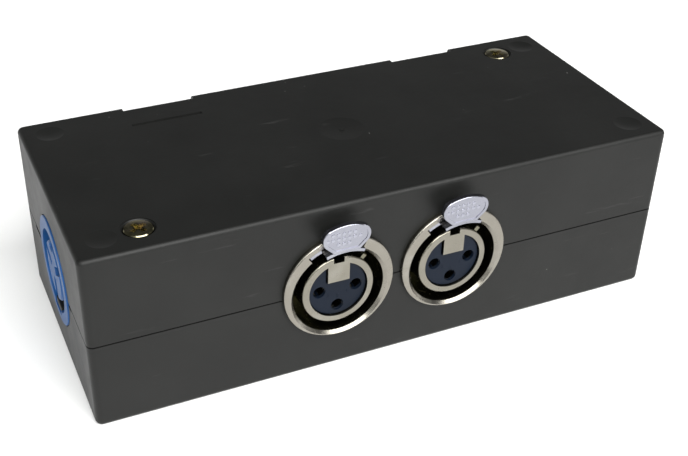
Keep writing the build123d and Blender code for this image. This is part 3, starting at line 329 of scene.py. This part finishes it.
MATERIALS = {
    "case_plastic": case_plastic(),
    "yellow_zinc": yellow_zinc(),
    "brass": plated("brass", (0.72, 0.52, 0.22), 0.3, (0.32, 0.2, 0.08), brushed=(1, 1, 8)),
    "blue_plastic": moulded("blue_plastic", (0.011, 0.062, 0.19), 0.4, grain=0.35, Specular_IOR_Level=0.14),
    "contact_metal": plated("contact_metal", (0.78, 0.76, 0.7), 0.12, (0.45, 0.42, 0.34)),
    "board_laminate": board_laminate(),
    "bright_steel": plated("bright_steel", (0.68, 0.68, 0.7), 0.26, (0.36, 0.35, 0.33)),
    "module_resin": moulded("module_resin", (0.03, 0.03, 0.033), 0.5, grain=0.8),
    "fuse_glass": fuse_glass(),
    "green_plastic": moulded("green_plastic", (0.04, 0.26, 0.09), 0.42, grain=0.6),
    "brown_insulation": moulded("brown_insulation", (0.16, 0.055, 0.025), 0.34, grain=0.3),
    "blue_insulation": moulded("blue_insulation", (0.03, 0.11, 0.42), 0.34, grain=0.3),
    "green_insulation": striped("green_insulation", (0.06, 0.3, 0.05), (0.75, 0.65, 0.06), 260, "DIAGONAL",
                                0.6, 0.34),
    "capacitor_sleeve": striped("capacitor_sleeve", (0.02, 0.03, 0.06), (0.55, 0.56, 0.58), 38, "X",
                                0.86, 0.3),
    "chip_epoxy": moulded("chip_epoxy", (0.02, 0.02, 0.021), 0.55, grain=0.9),
    # Satin nickel: its last colour is painted shade inside the barrels.
    "satin_nickel": plated("satin_nickel", (0.25, 0.235, 0.205), 0.24, (0.19, 0.175, 0.14), grain=0.3,
                           recess_shade=(0.115, 0.11, 0.065)),
    "tab_nickel": plated("tab_nickel", (0.29, 0.293, 0.335), 0.22, (0.24, 0.24, 0.28), grain=0.3),
    "dark_insert": moulded("dark_insert", (0.002, 0.005, 0.012), 0.4, grain=0.8, Specular_IOR_Level=0.14),
    "lamination_steel": lamination_steel(),
    "winding_tape": striped("winding_tape", (0.55, 0.36, 0.06), (0.42, 0.26, 0.04), 300, "Y", 0.5, 0.38),
}
for node in NODES.values():
    slot_name = node.data.materials[0].name.split(".")[0]
    node.data.materials[0] = MATERIALS[slot_name]


# ---------------------------------------------------------------- pieces

def finished(mesh, name, body, slot_name, material=None):
    """A mesh becomes a piece that rides on a body, in the slot's own material if no other is given."""
    piece = bpy.data.objects.new(name, mesh)
    bpy.context.scene.collection.objects.link(piece)
    mesh.materials.clear()
    mesh.materials.append(material or MATERIALS[slot_name])
    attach(piece, body)


def numeral(text, name, centre, towards_front):
    """A raised moulded numeral on the front or the back of an insert, centred on a point of its face."""
    curve = bpy.data.curves.new(name, "FONT")
    curve.body = text
    curve.size = NUMERAL_SIZE
    curve.align_x = "CENTER"
    curve.align_y = "CENTER"
    curve.extrude = NUMERAL_RELIEF
    curve.resolution_u = 3
    source = bpy.data.objects.new(name + "_source", curve)
    bpy.context.scene.collection.objects.link(source)
    bpy.context.view_layer.update()
    mesh = bpy.data.meshes.new_from_object(source.evaluated_get(bpy.context.evaluated_depsgraph_get()))
    bpy.data.objects.remove(source)
    turn = Matrix.Rotation(0 if towards_front else math.pi, 4, "Z") @ Matrix.Rotation(math.pi / 2, 4, "X")
    mesh.transform(Matrix.Translation(centre) @ turn)
    work = bmesh.new()
    work.from_mesh(mesh)
    bmesh.ops.remove_doubles(work, verts=work.verts, dist=WELD)
    work.to_mesh(mesh)
    work.free()
    finished(mesh, name, "case", "dark_insert")


def grip_pip(work, centre):
    """A small domed block, added to a bmesh."""
    made = bmesh.ops.create_cube(work, size=2)["verts"]
    edges = {e for v in made for e in v.link_edges}
    rounded = bmesh.ops.bevel(work, geom=list(edges), offset=PIP_EDGE, segments=4, affect="EDGES",
                              profile=0.5)
    bmesh.ops.scale(work, vec=PIP_HALF, verts=rounded["verts"])
    bmesh.ops.translate(work, vec=centre, verts=rounded["verts"])


def tab_grip(index, material):
    """Rows of pips in the recessed panel of a push tab."""
    low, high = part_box(f"input_{index}_push_tab")
    middle_x = (low.x + high.x) / 2
    middle_z = high.z - PIP_BELOW_TOP
    work = bmesh.new()
    for row, count in PIP_ROWS:
        for step in range(count):
            shift = step - (count - 1) / 2
            pip = Vector((middle_x + shift * PIP_PITCH, low.y + PIP_INSET, middle_z + row * PIP_PITCH))
            grip_pip(work, pip)
    mesh = bpy.data.meshes.new(f"tab_{index}_grip")
    work.to_mesh(mesh)
    work.free()
    finished(mesh, f"tab_{index}_grip", f"tab_{index}", "tab_nickel", material)


def flatten_spring(index):
    """The latch spring shortens towards its upper end by as much as its hook rises; here it only gets its
    own copy of its mesh, unchanged.
    """
    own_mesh(NODES[f"input_{index}_latch_spring"])


def insert_numerals(side, index):
    """The contact numbers on the face of an insert."""
    low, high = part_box(f"{side}_{index}_insert")
    front = side == "input"
    centre = Vector(((low.x + high.x) / 2, low.y if front else high.y, (low.z + high.z) / 2))
    for digit, along_x, along_z in NUMERAL_SPOTS[side]:
        spot = centre + Vector((along_x * MM, 0, along_z * MM))
        numeral(digit, f"{side}_{index}_numeral_{digit}", spot, front)


# Painted highlight: the grip pips get a lighter copy of the tab's nickel, so that they read as lit relief.
GRIP_PAINTED_HIGHLIGHT = plated("polished_grip", (0.34, 0.345, 0.4), 0.18, (0.26, 0.26, 0.31))

for index in INPUTS:
    tab_grip(index, GRIP_PAINTED_HIGHLIGHT)
for index in INPUTS:
    flatten_spring(index)
for side in NUMERAL_SPOTS:
    for index in INPUTS:
        insert_numerals(side, index)


# ---------------------------------------------------------------- floor, light and camera

FLOOR_HALF = 6.0
LIGHT_AIM = (0, 0, 0.02)


def floor():
    """A wide pale floor under the object, with its shade just uneven enough to look real."""
    mesh = bpy.data.meshes.new("floor")
    corners = [(-FLOOR_HALF, -FLOOR_HALF, 0), (FLOOR_HALF, -FLOOR_HALF, 0), (FLOOR_HALF, FLOOR_HALF, 0),
               (-FLOOR_HALF, FLOOR_HALF, 0)]
    mesh.from_pydata(corners, [], [(0, 1, 2, 3)])
    piece = bpy.data.objects.new("floor", mesh)
    bpy.context.scene.collection.objects.link(piece)
    s = Surface("floor", (0.86, 0.86, 0.86), 0.6)
    s.colour(s.ramp(s.noise(3, 3), (0.3, (0.84, 0.84, 0.845)), (0.7, (0.87, 0.87, 0.87))))
    mesh.materials.append(s.material)


def soft_light(name, place, size, power, colour):
    """A rectangular studio light that points at the middle of the object."""
    lamp = bpy.data.lights.new(name, "AREA")
    lamp.shape = "RECTANGLE"
    lamp.size, lamp.size_y = size
    lamp.energy = power
    lamp.color = colour
    holder = bpy.data.objects.new(name, lamp)
    bpy.context.scene.collection.objects.link(holder)
    holder.location = place
    holder.rotation_mode = "QUATERNION"
    holder.rotation_quaternion = (Vector(LIGHT_AIM) - Vector(place)).to_track_quat("-Z", "Y")


def studio_world():
    """Bright round the horizon like a paper sweep, dim higher up."""
    world = bpy.data.worlds.new("studio")
    world.use_nodes = True
    tree = world.node_tree
    background = next(n for n in tree.nodes if n.type == "BACKGROUND")
    coords = tree.nodes.new("ShaderNodeTexCoord")
    split = tree.nodes.new("ShaderNodeSeparateXYZ")
    ramp = tree.nodes.new("ShaderNodeValToRGB")
    tree.links.new(coords.outputs["Generated"], split.inputs["Vector"])
    tree.links.new(split.outputs["Z"], ramp.inputs["Fac"])
    tree.links.new(ramp.outputs["Color"], background.inputs["Color"])
    stops = [(0.0, 0.62), (0.22, 0.55), (0.4, 0.05), (0.75, 0.05), (1.0, 0.3)]
    elements = ramp.color_ramp.elements
    while len(elements) < len(stops):
        elements.new(0.5)
    for element, (position, value) in zip(elements, stops):
        element.position = position
        element.color = (value, value, value, 1)
    bpy.context.scene.world = world


floor()
studio_world()
soft_light("front_top", (0.05, -0.75, 0.85), (1.4, 1.0), 36, (1.0, 1.0, 0.985))
soft_light("side", (-0.75, -0.45, 0.55), (0.4, 0.5), 2.0, (0.94, 1.0, 0.97))

CAMERA_PLACE = Vector((-0.09059, -0.19160, 0.15404))
CAMERA_FORWARD = Vector((0.32914, 0.76950, -0.54730))
CAMERA_RIGHT = Vector((0.92059, -0.39051, 0.00457))
lens = bpy.data.cameras.new("camera")
lens.sensor_fit = "HORIZONTAL"
lens.sensor_width = 36
lens.lens = 58.80
lens.shift_x = 0.0580
lens.shift_y = -0.0103
lens.clip_start = 0.01
lens.clip_end = 50
camera = bpy.data.objects.new("camera", lens)
bpy.context.scene.collection.objects.link(camera)
up = CAMERA_RIGHT.cross(CAMERA_FORWARD).normalized()
axes = Matrix((CAMERA_RIGHT, up, -CAMERA_FORWARD)).transposed()
camera.matrix_world = Matrix.Translation(CAMERA_PLACE) @ axes.to_4x4()
bpy.context.scene.camera = camera
bpy.context.scene.view_settings.view_transform = "Standard"
bpy.context.scene.view_settings.look = "None"

bpy.context.view_layer.update()
